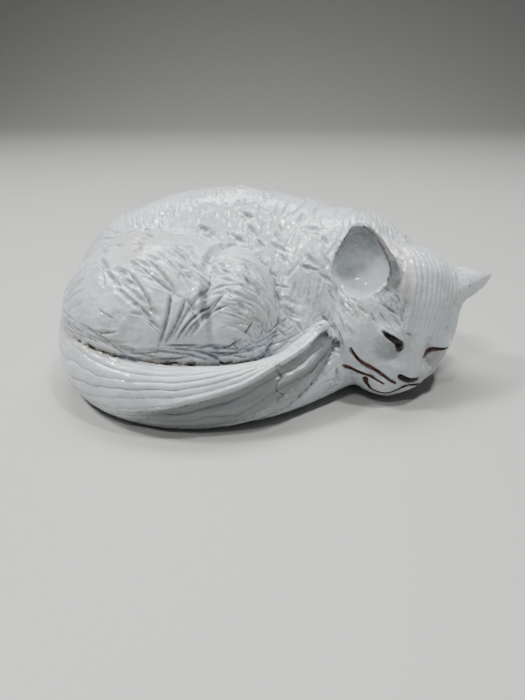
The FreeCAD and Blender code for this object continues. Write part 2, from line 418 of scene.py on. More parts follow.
class Strokes:
    """The marks of a comb and a needle in soft clay: grooves with a burr, some with a dark line."""

    CELL = 3.2 * MM

    def __init__(self, skin, seed):
        self.skin = skin
        self.rng = np.random.default_rng(seed)
        self.rows = []

    def follow(self, start, way, length, turn=0.0, curl=0.0):
        """Points along the surface from start, going the given way at each point."""
        spacing = 0.9 * MM
        points, normals = self.skin.points, self.skin.normals
        here = Vector(start)
        heading = None
        trail = []
        for _ in range(max(2, int(length / spacing))):
            _, index, _ = self.skin.tree.find(here)
            spot, n = Vector(points[index]), Vector(normals[index])
            trail.append(spot if heading is None else here - n * (here - spot).dot(n))
            go = way(spot)
            go = go - n * go.dot(n)
            if go.length < 1e-6:
                break
            go.normalize()
            go.rotate(Matrix.Rotation(turn, 3, n))
            turn += curl
            if heading is not None:
                go = (go + 0.8 * heading).normalized()
            heading = go
            here = trail[-1] + go * spacing
        return np.array(trail)

    def groove(self, a, b, width, depth, dark):
        self.rows.append((*a, *b, width, depth, dark))

    def cut(self, trail, width, depth, dark, taper):
        """One groove along a trail: half width, depth in the middle, darkness of its line."""
        count = len(trail) - 1
        if count < 1:
            return
        share = (np.arange(count) + 0.5) / count
        strength = np.clip(np.minimum(share, 1 - share) / taper, 0.15, 1) ** 0.7
        for a, b, strong in zip(trail[:-1], trail[1:], strength):
            self.groove(a, b, width * (0.6 + 0.4 * strong), depth * strong, dark)

    def draw(self, start, way, length_mm, width_mm, depth_mm, swing, curl, shade, taper):
        """One stroke from a point of the skin. shade makes a random share into the line's darkness."""
        rng = self.rng
        length = rng.uniform(*length_mm) * MM
        trail = self.follow(self.skin.points[start], way, length, rng.normal(0, swing), rng.normal(0, curl))
        dark = shade(rng.random())
        self.cut(trail, rng.uniform(*width_mm) * MM, rng.uniform(*depth_mm) * MM, dark, taper)

    def pick(self, mask, count):
        chosen = np.flatnonzero(mask)
        return self.rng.choice(chosen, min(count, len(chosen)), replace=False)

    def scatter(self, mask, count, way, length_mm, width_mm, depth_mm, swing, dark, taper=0.3):
        """Strokes started anywhere in a region. A few of them have a much darker line than the rest."""
        def shade(share):
            return share**2.2 * dark * 2.2

        for start in self.pick(mask, count):
            self.draw(start, way, length_mm, width_mm, depth_mm, swing, 0.015, shade, taper)

    def comb(self, first, last, count, way, length_mm, width_mm, depth_mm, swing, dark):
        """Strokes side by side, started along the line from first to last."""
        def shade(share):
            return share**1.5 * dark * 2

        for i in range(count):
            spot = first + (last - first) * (i + self.rng.uniform(-0.3, 0.3)) / (count - 1)
            _, start, _ = self.skin.tree.find(spot)
            self.draw(start, way, length_mm, width_mm, depth_mm, swing, 0.01, shade, 0.2)

    def tufts(self, mask, count, way, length_mm, width_mm, depth_mm, dark):
        """Broad leaf-shaped strokes of fur, each with a dark needle line along one edge."""
        rng = self.rng
        for start in self.pick(mask, count):
            length = rng.uniform(*length_mm) * MM
            trail = self.follow(self.skin.points[start], way, length, rng.normal(0, 0.22))
            width = rng.uniform(*width_mm) * MM
            self.cut(trail, width, rng.uniform(*depth_mm) * MM, 0.0, 0.45)
            aside = unit(np.cross(trail[-1] - trail[0], self.skin.normals[start])) * width * 1.05
            needle = trail[len(trail) // 4 :] + aside
            self.cut(needle, 0.5 * MM, 0.5 * MM, rng.uniform(0.3, 1.0) * dark, 0.3)

    def tear(self, spots_mm, width_mm, depth_mm, dark):
        """A ragged crease through the given places."""
        spots = [Vector(spot) * MM for spot in spots_mm]
        for a, b in zip(spots[:-1], spots[1:]):
            trail = self.follow(a, lambda here, b=b: b - here, (b - a).length + 0.9 * MM)
            for near_end, far_end in zip(trail[:-1], trail[1:]):
                wide, deep, shade = self.rng.uniform(0.6, 1.2, 3)
                self.groove(near_end, far_end, wide * width_mm * MM, deep * depth_mm * MM, shade * dark)

    def pits(self, mask, count, width_mm, depth_mm):
        for start in self.pick(mask, count):
            spot = self.skin.points[start]
            aside = self.rng.normal(0, 0.25 * MM, 3)
            width, depth = self.rng.uniform(*width_mm) * MM, self.rng.uniform(*depth_mm) * MM
            self.groove(spot, spot + aside, width, depth, 1.0)

    def stamp(self):
        """(depth, burr, dark) at each point of the skin."""
        points = self.skin.points
        rows = np.array(self.rows)
        a, b, width, depth, dark = rows[:, 0:3], rows[:, 3:6], rows[:, 6], rows[:, 7], rows[:, 8]
        low = np.floor(points.min(0) / self.CELL).astype(int) - 2
        shape = np.ceil(points.max(0) / self.CELL).astype(int) + 3 - low
        scale = np.array([shape[1] * shape[2], shape[2], 1])
        home = (np.floor(points / self.CELL).astype(int) - low) @ scale
        order = np.argsort(home, kind="stable")
        first = np.searchsorted(home[order], np.arange(shape.prod() + 1))
        middle = (np.floor((a + b) / 2 / self.CELL).astype(int) - low).clip(1, shape - 2)
        out = np.zeros((3, len(points)))
        for offset in np.ndindex(3, 3, 3):
            cell = (middle + np.array(offset) - 1) @ scale
            start, count = first[cell], first[cell + 1] - first[cell]
            total = int(count.sum())
            if total == 0:
                continue
            row = np.repeat(np.arange(len(rows)), count)
            place = np.arange(total) - np.repeat(np.cumsum(count) - count - start, count)
            index = order[place]
            run = b[row] - a[row]
            from_a = points[index] - a[row]
            share = np.clip((from_a * run).sum(1) / np.maximum((run * run).sum(1), 1e-12), 0, 1)
            away = np.linalg.norm(from_a - run * share[:, None], axis=1) / width[row]
            near = away < 2.2
            index, away, row = index[near], away[near], row[near]
            np.maximum.at(out[0], index, depth[row] * np.clip(1 - away**2, 0, 1) ** 1.3)
            np.maximum.at(out[1], index, depth[row] * 0.75 * np.clip((away - 1) * (2.2 - away), 0, 1))
            np.maximum.at(out[2], index, dark[row] * np.clip(1 - away / 0.75, 0, 1))
        return out


# ---------------------------------------------------------------- combing and scratching


def tail_coordinates(points):
    """Bearing along the tail, and the angle round its section: 0 faces out, and a quarter turn is up."""
    tail_points, _ = cad_triangles("tail")

    def polar(spots):
        out = spots[:, :2] - TAIL_CENTRE
        return np.arctan2(out[:, 1], out[:, 0]) % TAU, np.linalg.norm(out, axis=1)

    bearing, radius = polar(tail_points)
    bins = np.linspace(bearing.min(), bearing.max(), 25)
    rows = []
    for low, high in zip(bins[:-1], bins[1:]):
        inside = (bearing >= low) & (bearing <= high)
        if inside.sum() < 8:
            continue
        z, r = tail_points[inside, 2], radius[inside]
        half_r = max((r.max() - r.min()) / 2, 2 * MM)
        half_z = (z.max() - z.min()) / 2
        rows.append(((low + high) / 2, (z.max() + z.min()) / 2, half_z, r.max() - half_r, half_r))
    middle, mid_z, half_z, mid_r, half_r = np.array(rows).T
    own, own_radius = polar(points)
    z = (points[:, 2] - np.interp(own, middle, mid_z)) / np.interp(own, middle, half_z)
    r = (own_radius - np.interp(own, middle, mid_r)) / np.interp(own, middle, half_r)
    return own, np.arctan2(z, r)


def comb_tail(points):
    """Relief, dark lines and painted shade of the tail: its edge, the painted shade below it, and combed
    lines that run on to its tip.
    """
    along, around = tail_coordinates(points)
    degrees = np.degrees(along)
    edge = np.interp(degrees, *zip(*TAIL_EDGE))
    flat = np.stack([along * 1.2, around * 0.5, along * 0], 1)
    edge = edge + 0.10 * noise(flat, 0.35, 1)
    above = around - edge
    strength = ramp(degrees, 228, 262)
    relief = strength * (1.2 * bump(above, 0.05, 0.14) - 2.4 * bump(above, -0.40, 0.36)) * MM
    share = np.where(above > 0, above / (2.35 - edge), -above / (edge + 1.8))
    count = np.where(above > 0, 8.0, 6.0)
    wander = 0.30 * noise(flat, 0.5, 2) + 0.22 * noise(points, 13 * MM, 3) + 0.10 * noise(points, 5 * MM, 4)
    phase = share * count + wander
    ridge = np.abs(np.sin(math.pi * phase))
    cell = np.floor(phase + 0.5)
    own_depth = 0.55 + 0.45 * noise(np.stack([cell * 3.7, along * 2.2, cell * 0 + (above > 0)], 1), 1.0, 5)
    line = bump(ridge, 0, 0.22) * np.clip(own_depth, 0, 1)
    soft = 0.55 * MM * (ridge**0.6 - 1) * np.clip(own_depth + 0.3, 0, 1)
    fine = np.abs(np.sin(math.pi * phase * 3.0 + 1.3 * noise(points, 9 * MM, 1)))
    fine_line = bump(fine, 0, 0.25) * ramp(noise(points, 12 * MM, 2), 0.0, 0.5)
    relief = relief + soft - 0.42 * MM * line - 0.14 * MM * fine_line
    past_crack = (along - math.radians(TAIL_CRACK_BEARING)) * 60
    crack = bump(past_crack + 6 * np.abs(noise(points, 6 * MM, 3)), 2.4, 0.45)
    crack = crack * ramp(above, -1.5, -1.2) * (1 - ramp(above, 0.1, 0.3))
    relief = relief - 0.9 * MM * crack
    dark = 0.85 * line * ramp(own_depth, 0.35, 0.9) + 0.3 * fine_line + 0.9 * crack
    broken = ramp(noise(points, 7 * MM, 0), -0.35, 0.3)
    dark = dark + 0.8 * strength * bump(above, -0.12, 0.045) * broken
    # painted shade on the underside of the tail, below its edge
    below = ramp(-above, -0.02, 0.14) * (1 - 0.6 * ramp(-above, 0.9, 1.5))
    return relief, np.clip(dark, 0, 1), strength * below


def comb_forehead(points, near):
    """Upright grooves from the crown down to a ledge above the brows."""
    x, y, z = head_coordinates(points).T
    side = ramp(x, -13.5, -9.5) * (1 - ramp(x, 25, 30))
    high = ramp(z, 9.0, 10.6) * (1 - ramp(z, 36, 44)) * ramp(-y, -18, -6)
    weight = side * high * ramp(2 * MM - near["head_shell"], 0, 1.5 * MM)
    bend = x * (1 - 0.006 * (z - 12)) + 0.8 * noise(points, 13 * MM, 5) + 0.25 * noise(points, 4 * MM, 1)
    phase = bend / 2.65
    groove = np.abs(np.sin(math.pi * phase))
    cell = np.floor(phase + 0.5)
    own = 0.6 + 0.5 * noise(np.stack([cell * 2.9, z * 0.09, cell * 0], 1), 1.0, 3)
    line = bump(groove, 0, 0.38) * np.clip(own, 0.1, 1)
    relief = weight * (0.7 - 0.75 * line) * MM
    return relief, weight * line, weight


def seam(near, first, second, width):
    """1 in the crease where two clay parts meet."""
    close = np.maximum(near[first], near[second]) < 3 * MM
    return close * bump(near[first] - near[second], 0, width)


def one_way(x, y, z):
    """The way of strokes that all run in one direction."""
    return lambda spot: Vector((x, y, z))


def stroke_body(strokes, part):
    """Fur that spreads from the middle of the back, and runs down the neck."""
    x, y, z = strokes.skin.points.T / MM

    def outward(spot):
        return Vector((spot.x + 0.005, 1.3 * (spot.y - 0.012), -0.05))

    def down_neck(spot):
        return Vector((-0.22, 0.7 * math.tanh((spot.y - 0.024) / 0.02), -0.9))

    body = part["body_shell"] & (z > 4) & ((x < 16) | (y > 20))
    top = body & (z > 72)
    strokes.scatter(body & ~top, 430, outward, (9, 26), (0.9, 1.5), (0.2, 0.45), 0.14, 0.06)
    strokes.scatter(body & ~top, 260, outward, (5, 14), (0.6, 0.9), (0.15, 0.34), 0.2, 0.15)
    strokes.scatter(top, 420, one_way(0.12, -1, -0.4), (4, 11), (0.6, 0.9), (0.2, 0.4), 0.12, 0.07)
    neck = (part["neck"] | (part["body_shell"] & (x > 14) & (y < 22))) & (z > 8)
    strokes.scatter(neck, 170, down_neck, (12, 32), (1.0, 1.7), (0.25, 0.55), 0.08, 0.05)
    strokes.scatter(neck, 70, down_neck, (5, 14), (0.5, 0.8), (0.2, 0.38), 0.12, 0.25)


def stroke_head(strokes, part, near):
    """A ruff beside the cheek and tufts on the temple, swept down towards the nose, then the crown."""
    x, y, z = head_coordinates(strokes.skin.points).T
    front = strokes.skin.points[:, 1] < 2 * MM
    ruff_way, temple_way = one_way(0.75, -0.35, -0.65), one_way(0.62, -0.35, -0.8)
    ruff = (near["head_shell"] < 18 * MM) & (x < -24) & (z < 28) & (z > -22) & front
    strokes.tufts(ruff, 120, ruff_way, (7, 15), (1.4, 2.3), (0.8, 1.4), 1.2)
    strokes.scatter(ruff, 30, ruff_way, (5, 11), (0.6, 1.0), (0.4, 0.8), 0.2, 0.3)
    temple = part["head_shell"] & (x < -8) & (z > 7) & (z < 27) & (y > -29)
    strokes.tufts(temple, 34, temple_way, (5, 11), (1.0, 1.6), (0.4, 0.8), 0.45)
    strokes.scatter(temple, 24, temple_way, (4, 9), (0.6, 0.9), (0.3, 0.5), 0.16, 0.25)
    side = part["head_shell"] & (y > -10) & (x > 16)
    strokes.scatter(side, 200, temple_way, (5, 14), (0.6, 1.1), (0.2, 0.55), 0.3, 0.35)
    crown = part["head_shell"] & (y > -4) & (z > 4) & (x < 20)
    strokes.scatter(crown, 110, one_way(0.05, 0.9, 0.1), (7, 16), (0.6, 1.1), (0.3, 0.6), 0.2, 0.4)


def stroke_haunch(strokes, part, near):
    """Long bands round the haunch and knee, crossed tool strokes on its middle, and torn creases."""
    points = strokes.skin.points

    def on_thigh(x_mm, y_mm, z_mm):
        return THIGH_CENTRE + np.array([x_mm, y_mm, z_mm]) * MM

    def round_tail(spot):
        return Vector((TAIL_CENTRE[1] - spot.y, spot.x - TAIL_CENTRE[0], 0.0))

    def round_thigh(spot):
        return (spot - Vector(THIGH_CENTRE)).cross(Vector((0.05, 1.0, 0.45)))

    def round_knee(spot):
        return (spot - Vector(KNEE_CENTRE + np.array([-4, 0, 0]) * MM)).cross(Vector((0.1, 1.0, 0.35)))

    down_right, up_right = one_way(0.67, -0.61, -0.42), one_way(0.45, 0.53, 0.72)
    thigh = part["hind_leg"] & (points[:, 0] < -17 * MM)
    rim = ellipsoid(points, on_thigh(4, -38, 22), (36, 60, 34), np.eye(3)) > 0
    upper_rim = thigh & rim & (near["tail"] > 9 * MM)
    low_rim = part["hind_leg"] & (near["tail"] < 9.5 * MM)
    strokes.scatter(upper_rim, 80, round_thigh, (18, 44), (1.0, 1.7), (0.22, 0.5), 0.05, 0.05, taper=0.25)
    strokes.scatter(low_rim, 50, round_tail, (18, 40), (0.8, 1.4), (0.5, 1.0), 0.03, 0.2, taper=0.25)
    combed = [
        ((-8, -28, 37), (9, -13, 43), 5, down_right, (22, 29), (1.3, 1.8), (1.0, 1.4), 0.03, 0.2),
        ((-18, -36, 29), (-12, -30, 35), 3, down_right, (16, 22), (1.3, 1.8), (0.8, 1.2), 0.03, 0.15),
        ((2, -51, 6), (17, -46, 9), 6, up_right, (24, 36), (1.0, 1.5), (0.9, 1.3), 0.06, 0.26),
    ]
    for first, last, *rest in combed:
        strokes.comb(on_thigh(*first), on_thigh(*last), *rest)
    strokes.scatter(thigh & ~rim, 8, down_right, (4, 12), (0.7, 1.0), (0.3, 0.6), 0.2, 0.2)
    strokes.tear([(-53, -8, 78), (-45, -14, 78.5), (-37, -21, 78)], 0.7, 1.0, 0.75)
    strokes.tear([(-31, -9, 77.6), (-23, -11.5, 76), (-15, -14, 73.5)], 0.8, 1.3, 0.7)
    strokes.tear([(3, -54, 47), (-1, -57, 42)], 0.9, 1.5, 0.45)
    strokes.tear([(-3, -58, 40), (-9, -59.5, 36), (-16, -60, 35)], 0.9, 1.5, 0.4)
    strokes.tear([(8, -50, 42), (4, -53, 37)], 0.7, 1.2, 0.5)
    knee = part["hind_leg"] & (points[:, 0] > 5 * MM)
    strokes.scatter(knee, 46, round_knee, (16, 36), (0.9, 1.5), (0.35, 0.7), 0.04, 0.1)


def tear_tail_end(strokes):
    strokes.tear([(39, -46, 41), (37, -50, 37), (34, -54, 33)], 0.8, 1.2, 0.9)
    strokes.tear([(24, -50, 38), (30, -50.5, 39.5), (37, -48.5, 42)], 0.7, 1.1, 0.8)
    strokes.tear([(29, -56, 38), (32, -55, 34)], 0.6, 0.9, 0.8)


def make_strokes(skin, near, owner):
    """The separate strokes, region by region. They run the way the fur would."""
    strokes = Strokes(skin, 21)
    part = {name: owner == i for i, name in enumerate(LUMPS)}
    stroke_body(strokes, part)
    stroke_head(strokes, part, near)
    stroke_haunch(strokes, part, near)
    tear_tail_end(strokes)
    back_way, down = one_way(-0.8, -0.4, -0.2), one_way(0.1, 0, -1)
    strokes.scatter(part["foreleg"], 34, back_way, (6, 16), (0.6, 1.1), (0.15, 0.35), 0.2, 0.4)
    ear_back = part["left_ear"] | (part["right_ear"] & (skin.normals @ EAR_OUT < -0.2))
    strokes.scatter(ear_back, 36, down, (5, 12), (0.5, 0.9), (0.1, 0.3), 0.2, 0.2)
    crease = (seam(near, "tail", "hind_leg", 1.6 * MM) + seam(near, "tail", "foreleg", 1.2 * MM)) > 0.4
    strokes.pits(crease, 90, (0.45, 0.9), (0.4, 0.9))
    strokes.pits(skin.points[:, 2] > 8 * MM, 200, (0.35, 0.55), (0.3, 0.5))
    return strokes


# ---------------------------------------------------------------- the face lines


def curve_point(a, b, c, d, t):
    """The point at share t from b to c, on a smooth curve through a, b, c and d."""
    return 0.5 * (
        2 * b + (c - a) * t + (2 * a - 5 * b + 4 * c - d) * t**2 + (3 * b - a - 3 * c + d) * t**3
    )


def line_samples():
    """Each face line as a fine chain of (x, z, half width) on the head's axes."""
    chains = {}
    for name, control in FACE_LINES.items():
        c = np.array(control, float)
        c = np.vstack([2 * c[0] - c[1], c, 2 * c[-1] - c[-2]])
        chain = []
        for i in range(1, len(c) - 2):
            count = max(3, int(np.linalg.norm(c[i + 1, :2] - c[i, :2]) / 0.35))
            chain += [curve_point(*c[i - 1 : i + 3], t) for t in np.arange(count) / count]
        chain.append(c[-2])
        chains[name] = np.array(chain)
    return chains


def project_lines(skin):
    """Each face line laid on the skin from the front of the face: points and half widths."""
    tree = BVHTree.FromPolygons(skin.points.tolist(), skin.quads.tolist())
    toward = Vector(HEAD_AXES @ np.array([0.0, 1.0, 0.0]))
    laid = {}
    for name, chain in line_samples().items():
        rows = []
        for x, z, half_width in chain:
            spot, _, _, _ = tree.ray_cast(Vector(on_head(x, -60, z)), toward)
            if spot is not None:
                rows.append((*spot, half_width * MM))
        laid[name] = np.array(rows)
    return laid


def lay_grooves(skin, laid):
    """Relief of the grooves and lids round the face lines, and how far the oxide bleeds."""
    relief = np.zeros(len(skin.points))
    bleed = np.zeros(len(skin.points))
    crown = HEAD_AXES @ np.array([0.0, 0.0, 1.0])
    for name, rows in laid.items():
        near = np.flatnonzero(np.linalg.norm(skin.points - rows[:, :3].mean(0), axis=1) < 26 * MM)
        away = np.linalg.norm(skin.points[near, None] - rows[None, :, :3], axis=2) - rows[None, :, 3]
        nearest = away.argmin(1)
        gap = away[np.arange(len(near)), nearest] / MM
        above = (skin.points[near] - rows[nearest, :3]) @ crown > 0
        own = -0.75 * (1 - ramp(gap, -0.5, 0.45))
        if "eye" in name:
            own = own + np.where(above, 0.55 * bump(gap, 1.1, 0.7), 0.35 * bump(gap, 1.0, 0.8))
        elif name == "mouth_line":
            own = own + np.where(above, 0.35 * bump(gap, 1.0, 0.9), 0.25 * bump(gap, 1.2, 0.9))
        else:
            own = own + 0.15 * bump(gap, 0.9, 0.6)
        relief[near] = relief[near] + own * MM
        bleed[near] = np.maximum(bleed[near], 1 - ramp(gap, 0.0, 0.7))
    return relief, bleed


def ribbon(name, rows, normals):
    """An oxide line: a thick crowned bead that tapers along its run."""
    around = 12
    count = len(rows)
    centre = rows[:, :3]
    run = unit(np.gradient(centre, axis=0))
    side = unit(np.cross(normals, run))
    rise = unit(np.cross(run, side))
    uneven = 1 + 0.16 * noise(centre, 1.6 * MM, 2)
    end = np.clip(np.minimum(np.arange(count), np.arange(count)[::-1]) * 0.35 / 0.8, 0, 1)
    wide = rows[:, 3] * uneven * np.sqrt(np.clip(end, 0.04, 1))
    points = []
    for a in np.arange(around) / around * TAU:
        high = np.where(math.sin(a) > 0, 0.16 * MM + 0.30 * wide, 0.7 * MM) * np.clip(end, 0.2, 1)
        sideways = side * (wide * math.cos(a))[:, None]
        points.append(centre + sideways + rise * (high * math.sin(a) - 0.22 * MM)[:, None])
    points = np.stack(points, 1).reshape(-1, 3)
    faces = []
    for i in range(count - 1):
        for j in range(around):
            k = (j + 1) % around
            faces.append((i * around + j, i * around + k, (i + 1) * around + k, (i + 1) * around + j))
    faces.append(tuple(range(around))[::-1])
    faces.append(tuple((count - 1) * around + j for j in range(around)))
    mesh = bpy.data.meshes.new(name)
    mesh.from_pydata(points.tolist(), [], faces)
    bm = bmesh.new()
    bm.from_mesh(mesh)
    bmesh.ops.recalc_face_normals(bm, faces=bm.faces)
    for face in bm.faces:
        face.smooth = True
    bm.to_mesh(mesh)
    bm.free()
    return mesh


# ---------------------------------------------------------------- all the relief, and what the glaze shows


def glaze_ear(points, bowl):
    """Marks of the right ear: its edge, painted shade in the top of its hollow and on the flange behind the
    edge, and the root.
    """
    x, _, z = ((points - EAR_ROOT) @ EAR_AXES / MM).T
    out = bowl / MM
    rim = (ear_roll(points, 1) < 1.0 * MM) * bump(out, 1.2, 1.0) * ramp(z, 4, 10)
    peak = (ear_roll(points, -1) < 1.0 * MM) * bump(out, 0.9, 0.7) * ramp(z, 20, 27)
    # painted shade in the top of the ear's hollow
    top = (bowl < 0.8 * MM) * ramp(z, 12, 30)
    behind = ramp(z, 2, 9) * ramp(x, 0, 6) * (bowl < 14 * MM)
    # painted shade on the flange behind the ear's edge
    flange = ramp(out, 0.8, 2.0) * (1 - ramp(out, 5.5, 8.5)) * behind
    root = bump(out, 8.2, 1.0) * behind * (1 - ramp(z, 24, 30))
    return np.maximum(rim, 0.7 * peak), top, flange, root


def fold_knee(points, near):
    """Relief and dark line of the fold where the knee comes out from under the haunch."""
    haunch = ellipsoid(points, THIGH_CENTRE, THIGH_RADII_MM, THIGH_AXES)
    knee = ellipsoid(points, KNEE_CENTRE, KNEE_RADII_MM, np.eye(3))
    fold = (haunch - knee) / MM + 1.9 * noise(points, 17 * MM, 2) + 0.6 * noise(points, 6 * MM, 3)
    high = ramp(points[:, 2], 34 * MM, 54 * MM)
    on_leg = ramp(1.5 * MM - near["hind_leg"], 0, 1.5 * MM) * high
    ledge, crease, hollow = bump(fold, -1.6, 1.4), bump(fold, 0.8, 1.2), bump(fold, 3.2, 2.8)
    relief = on_leg * (1.1 * ledge - 1.7 * crease - 0.9 * hollow)
    line = on_leg * bump(fold, 0.5, 0.4) * ramp(noise(points, 8 * MM, 4), -0.2, 0.3)
    line = line * ramp(points[:, 2], 48 * MM, 64 * MM)
    rough_places = [
        (THIGH_CENTRE + np.array([-16, -42, 14]) * MM, 15 * MM),
        (np.array([-1, -57, 38]) * MM, 9 * MM),
    ]
    rough = sum(bump(np.linalg.norm(points - place, axis=1), 0, size) for place, size in rough_places)
    lumpy = 0.7 * noise(points, 4.2 * MM, 3) + 0.3 * noise(points, 2 * MM, 4)
    return (relief + rough * lumpy) * MM, line


def texture_skin(skin, near, owner, laid):
    """Moves the skin by all its relief. Returns what the glaze needs to know at each point."""
    p = skin.points
    depth, burr, shade = make_strokes(skin, near, owner).stamp()
    on_tail = ramp(1.6 * MM - near["tail"], 0, 1.2 * MM)
    off_tail = 1 - on_tail
    tail_relief, tail_line, tail_shade = comb_tail(p)
    fore_relief, fore_line, fore = comb_forehead(p, near)
    line_relief, bleed = lay_grooves(skin, laid)
    fold_relief, fold_line = fold_knee(p, near)
    bowl = ear_bowl(p)
    ear_rim, ear_top_shade, flange, root = glaze_ear(p, bowl)
    head_x, head_y, head_z = head_coordinates(p).T
    on_head_part = ramp(2 * MM - near["head_shell"], 0, 2 * MM)
    face = ramp(-head_y, 17, 23) * (1 - ramp(head_z, 8, 10)) * on_head_part
    plain = skin.smoothed(np.clip(np.maximum(face, 1.0 * (bowl < 0.8 * MM)), 0, 1), 3)
    free = (1 - plain) * (1 - fore)

    tail_leg = seam(near, "tail", "hind_leg", 1.1 * MM)
    tail_arm = seam(near, "tail", "foreleg", 1.1 * MM) + seam(near, "tail", "neck", 1.1 * MM)
    others = seam(near, "hind_leg", "body_shell", 1.2 * MM) + seam(near, "neck", "body_shell", 1.6 * MM)
    ragged = 0.55 + 0.6 * noise(p, 3.5 * MM, 3) + 0.3 * noise(p, 1.6 * MM, 4)
    seam_relief = -(1.7 * tail_leg * ragged + 1.0 * tail_arm * ragged + 0.7 * others) * MM

    wobble = 0.36 * noise(p, 14 * MM, 0) + 0.22 * noise(p, 5.5 * MM, 1) + 0.10 * noise(p, 2.4 * MM, 2)
    mark = np.where(depth > 0, -depth, 0.6 * burr)
    relief = mark * free * off_tail + on_tail * tail_relief + off_tail * (fore_relief + fold_relief)
    relief = relief + seam_relief + line_relief
    relief = relief - 0.7 * MM * root + wobble * MM * (1 - 0.75 * plain) - 0.4 * MM
    above_floor = ramp(p[:, 2], 0.2 * MM, 3 * MM)
    skin.points = p + skin.normals * (relief * above_floor)[:, None]
    skin.points[:, 2] = np.maximum(skin.points[:, 2], 0.0)
    skin.normals = vertex_normals(skin.points, skin.quads)

    sharp = np.clip(skin.sunk(2) / (0.09 * MM), -1, 1)
    far_ear = LUMPS.index("left_ear") == owner
    far_rim = far_ear * ramp(-skin.sunk(8), 0.06 * MM, 0.2 * MM) * ramp(-skin.normals[:, 2], -0.35, 0.1)
    crevice = seam(near, "tail", "hind_leg", 3.2 * MM)
    patch = bump(head_x, -14, 3.5) * ramp(head_z, 16, 24) * on_head_part
    torn = ramp(p[:, 0], 21 * MM, 25 * MM) * ramp(p[:, 2], 31 * MM, 35 * MM)
    line = shade * free * np.maximum(off_tail, torn) + 0.8 * on_tail * tail_line
    line = line + 0.3 * fore_line + 0.8 * fold_line + ear_rim + 0.3 * root + 0.7 * far_rim
    stroke = np.clip(depth / (0.7 * MM), 0, 1) * free * off_tail
    broken = ramp(noise(p, 11 * MM, 5), -0.5, 0.25)
    iron = (1.3 * tail_leg**4 + 1.0 * tail_arm**5) * (0.55 + 0.45 * ragged) * broken
    # painted shade, grey: on the ear's flange, under the tail's edge, in the top of the ear's hollow and
    # over the face
    painted_shade = [flange, 1.1 * on_tail * tail_shade, 0.8 * ear_top_shade, 0.32 * plain * (bowl > 3 * MM)]
    return {
        "line": np.clip(line, 0, 1) * above_floor,
        # painted shade, grey, in the small creases and the stroke grooves
        "groove": np.clip(0.75 * np.clip(sharp, 0, 1) * (1 - 0.5 * fore) + 0.35 * stroke, 0, 1),
        # painted shade: how far a place is sunk, which greys the glaze in the hollows
        "hollow": np.clip(skin.sunk(70) / (1.7 * MM), 0, 1),
        "painted_shade": np.maximum.reduce(painted_shade),
        "warm": np.maximum(crevice, patch) * ramp(noise(p, 5 * MM, 1), -0.4, 0.3),
        # grey-brown where the glaze runs thin over sharp edges, and painted shade on the ear's flange
        "edge": np.clip(0.8 * np.clip(-sharp, 0, 1) + 0.5 * flange, 0, 1),
        "iron": np.clip(iron, 0, 1) * ramp(p[:, 2], 6 * MM, 12 * MM),
        "bleed": bleed,
    }


# ---------------------------------------------------------------- parting the skin into pieces


def part_of_faces(skin, owner):
    """Each face's clay part, with ragged edges and specks voted away."""
    votes = np.zeros((len(skin.points), len(LUMPS)))
    votes[np.arange(len(owner)), owner] = 1
    votes = skin.smoothed(votes, 6)
    return votes[skin.quads].sum(1).argmax(1)


def shell_piece(name, skin, faces, attributes):
    """The part of the skin on these faces as a closed clay shell, a wall thick."""
    wall = 0.9 * MM
    used, index = np.unique(faces, return_inverse=True)
    outer = index.reshape(-1, 4)
    count = len(used)
    points = skin.points[used]
    inside = points - skin.inward[used] * wall
    keys = np.concatenate([outer[:, [i, (i + 1) % 4]] for i in range(4)])
    forward = keys[:, 0] * count + keys[:, 1]
    backward = keys[:, 1] * count + keys[:, 0]
    rim = keys[~np.isin(forward, backward)]
    lip = np.stack([rim[:, 1], rim[:, 0], rim[:, 0] + count, rim[:, 1] + count], 1)
    faces = np.vstack([outer, outer[:, ::-1] + count, lip])
    mesh = mesh_from(name, np.vstack([points, inside]), faces)
    for label, values in attributes.items():
        data = np.tile(values[used], 2).astype(np.float32)
        mesh.attributes.new(label, "FLOAT", "POINT").data.foreach_set("value", data)
    mesh.polygons.foreach_set("use_smooth", np.ones(len(faces), bool))
    sharp = np.zeros(len(mesh.edges), bool)
    ends = np.empty(len(mesh.edges) * 2, np.int32)
    mesh.edges.foreach_get("vertices", ends)
    ends = np.sort(ends.reshape(-1, 2), axis=1).astype(int)
    rim_keys = np.sort(rim, axis=1) @ np.array([2 * count, 1])
    sharp[np.isin(ends @ np.array([2 * count, 1]), rim_keys)] = True
    mesh.attributes.new("sharp_edge", "BOOLEAN", "EDGE").data.foreach_set("value", sharp)
    return mesh


def add_piece(name, mesh, slot, material, *nodes):
    piece = bpy.data.objects.new(name, mesh)
    bpy.context.scene.collection.objects.link(piece)
    mesh.materials.append(material)
    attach(piece, "root")
    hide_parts(*nodes)


# ---------------------------------------------------------------- materials


